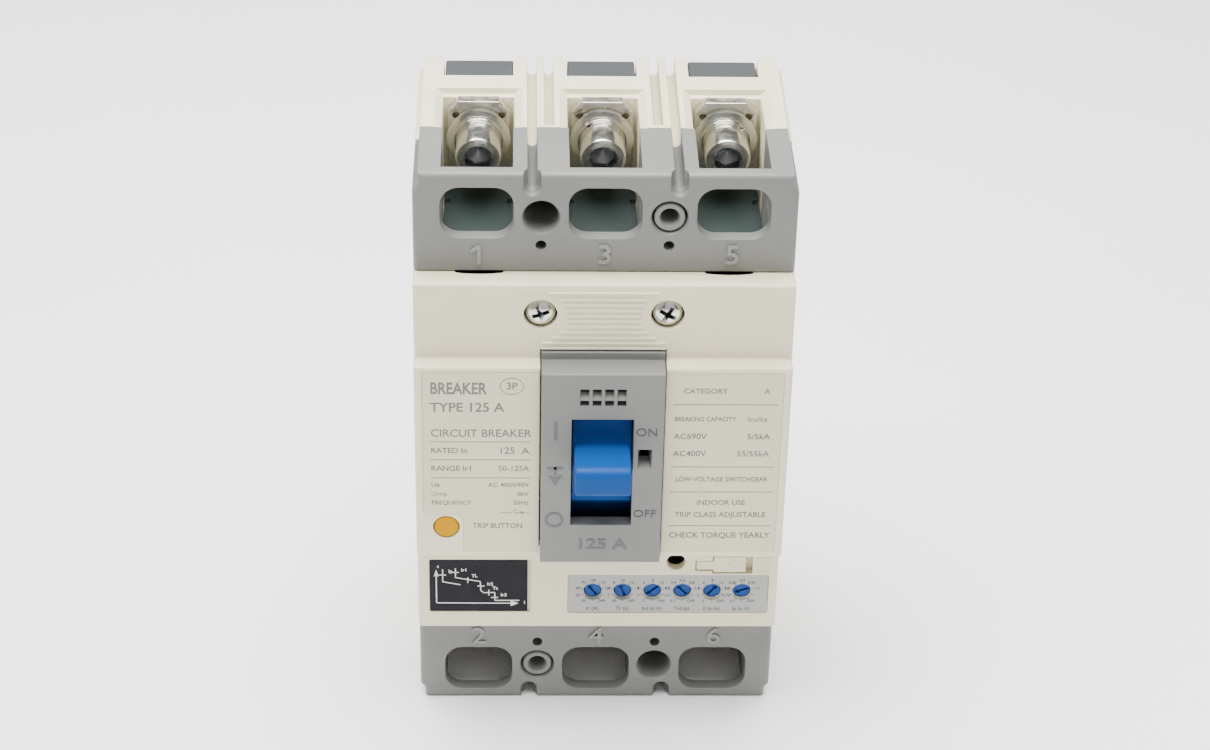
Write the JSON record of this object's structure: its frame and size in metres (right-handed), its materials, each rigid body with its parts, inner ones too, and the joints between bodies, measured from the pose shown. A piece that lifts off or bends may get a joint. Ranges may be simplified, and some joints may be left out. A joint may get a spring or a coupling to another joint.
{
  "type": "molded case breaker",
  "caption": "Three-pole molded case circuit breaker with a front toggle handle, stepped front with adjusting dials, and screw terminals under grey covers at both ends.",
  "frame": {"origin": "on the flat back of the base, midway between the two rows of fixing holes and on the width's centre line", "axes": "+Z along the body towards the line terminals (up when mounted), +Y out of the back into the panel, so the toggle handle faces -Y, and +X to the right seen from the front"},
  "size_m": [0.09, 0.0857, 0.1541],
  "materials": {
    "cream_thermoset": "moulded, satin",
    "grey_plastic": "moulded, satin",
    "dark_grey_plastic": "moulded, matt",
    "green_fibre": "pressed fibre, matt",
    "blue_plastic": "moulded, semi-gloss",
    "orange_plastic": "moulded, semi-gloss",
    "black_plastic": "moulded, matt",
    "label_grey": "printed film",
    "label_cream": "printed film",
    "label_black": "printed film",
    "tinned_copper": "tin plated",
    "zinc_steel": "zinc plated",
    "bare_copper": "bare",
    "plain_steel": "plain",
    "board_green": "laminate"
  },
  "bodies": {
    "breaker": {"arc_chute_1": "plain_steel", "arc_chute_2": "plain_steel", "arc_chute_3": "plain_steel", "base": "cream_thermoset", "cover_screw_left": "zinc_steel", "cover_screw_right": "zinc_steel", "current_transformers": "black_plastic", "curve_label": "label_black", "dial_plate": "label_grey", "escutcheon": "grey_plastic", "fixing_sleeve_line": "grey_plastic", "fixing_sleeve_load": "grey_plastic", "flexible_link_1": "bare_copper", "flexible_link_2": "bare_copper", "flexible_link_3": "bare_copper", "front_cover": "cream_thermoset", "line_cover": "grey_plastic", "line_terminal_1": "tinned_copper", "line_terminal_3": "tinned_copper", "line_terminal_5": "tinned_copper", "load_cover": "grey_plastic", "load_terminal_2": "tinned_copper", "load_terminal_4": "tinned_copper", "load_terminal_6": "tinned_copper", "mechanism_frame": "plain_steel", "nameplate_left": "label_cream", "nameplate_right": "label_cream", "rear_plug_1": "dark_grey_plastic", "rear_plug_3": "dark_grey_plastic", "rear_plug_5": "dark_grey_plastic", "terminal_screw_1": "zinc_steel", "terminal_screw_2": "zinc_steel", "terminal_screw_3": "zinc_steel", "terminal_screw_4": "zinc_steel", "terminal_screw_5": "zinc_steel", "terminal_screw_6": "zinc_steel", "trip_actuator": "plain_steel", "trip_unit_board": "board_green", "trip_unit_housing": "black_plastic", "vent_plate_1": "green_fibre", "vent_plate_3": "green_fibre", "vent_plate_5": "green_fibre"},
    "lever": {"handle": "blue_plastic", "handle_arm": "plain_steel", "toggle_spring_left": "plain_steel", "toggle_spring_right": "plain_steel"},
    "contact_shaft": {"crossbar": "black_plastic", "contact_arm_1": "bare_copper", "contact_arm_2": "bare_copper", "contact_arm_3": "bare_copper", "toggle_link": "plain_steel"},
    "button": {"trip_button": "orange_plastic"},
    "trip_shaft": {"trip_bar": "black_plastic"},
    "dial_body_1": {"dial_1": "blue_plastic"},
    "dial_body_2": {"dial_2": "blue_plastic"},
    "dial_body_3": {"dial_3": "blue_plastic"},
    "dial_body_4": {"dial_4": "blue_plastic"},
    "dial_body_5": {"dial_5": "blue_plastic"},
    "dial_body_6": {"dial_6": "blue_plastic"},
    "shutter": {"test_shutter": "cream_thermoset"}
  },
  "joints": [
    {"name": "handle_toggle", "type": "hinge", "parent": "breaker", "child": "lever", "pos_m": [0, -0.038, 0.00285], "axis": [-1, 0, 0], "range_deg": [-22.5, 11]},
    {"name": "contact_turn", "type": "hinge", "parent": "breaker", "child": "contact_shaft", "pos_m": [0, -0.02, -0.01], "axis": [-1, 0, 0], "range_deg": [-22.6, 11.1]},
    {"name": "button_press", "type": "slide", "parent": "breaker", "child": "button", "axis": [0, 1, 0], "range_m": [0, 0.002], "stiffness_N_per_m": 300, "springref_m": -0.002},
    {"name": "trip_bar_turn", "type": "hinge", "parent": "breaker", "child": "trip_shaft", "pos_m": [0, -0.0406, -0.025], "axis": [-1, 0, 0], "range_deg": [0, 14.2]},
    {"name": "dial_1_turn", "type": "hinge", "parent": "breaker", "child": "dial_body_1", "pos_m": [-0.0013, -0.065, -0.039], "axis": [0, 1, 0], "range_deg": [-140, 140]},
    {"name": "dial_2_turn", "type": "hinge", "parent": "breaker", "child": "dial_body_2", "pos_m": [0.0062, -0.065, -0.039], "axis": [0, 1, 0], "range_deg": [-140, 140]},
    {"name": "dial_3_turn", "type": "hinge", "parent": "breaker", "child": "dial_body_3", "pos_m": [0.0137, -0.065, -0.039], "axis": [0, 1, 0], "range_deg": [-140, 140]},
    {"name": "dial_4_turn", "type": "hinge", "parent": "breaker", "child": "dial_body_4", "pos_m": [0.0212, -0.065, -0.039], "axis": [0, 1, 0], "range_deg": [-140, 140]},
    {"name": "dial_5_turn", "type": "hinge", "parent": "breaker", "child": "dial_body_5", "pos_m": [0.0287, -0.065, -0.039], "axis": [0, 1, 0], "range_deg": [-140, 140]},
    {"name": "dial_6_turn", "type": "hinge", "parent": "breaker", "child": "dial_body_6", "pos_m": [0.0362, -0.065, -0.039], "axis": [0, 1, 0], "range_deg": [-140, 140]},
    {"name": "shutter_slide", "type": "slide", "parent": "breaker", "child": "shutter", "axis": [1, 0, 0], "range_m": [0, 0.0014]}
  ],
  "couplings": [
    {"joint": "contact_turn", "follows": "handle_toggle", "ratio": 1},
    {"joint": "trip_bar_turn", "follows": "button_press", "rad_per_m": 120}
  ]
}
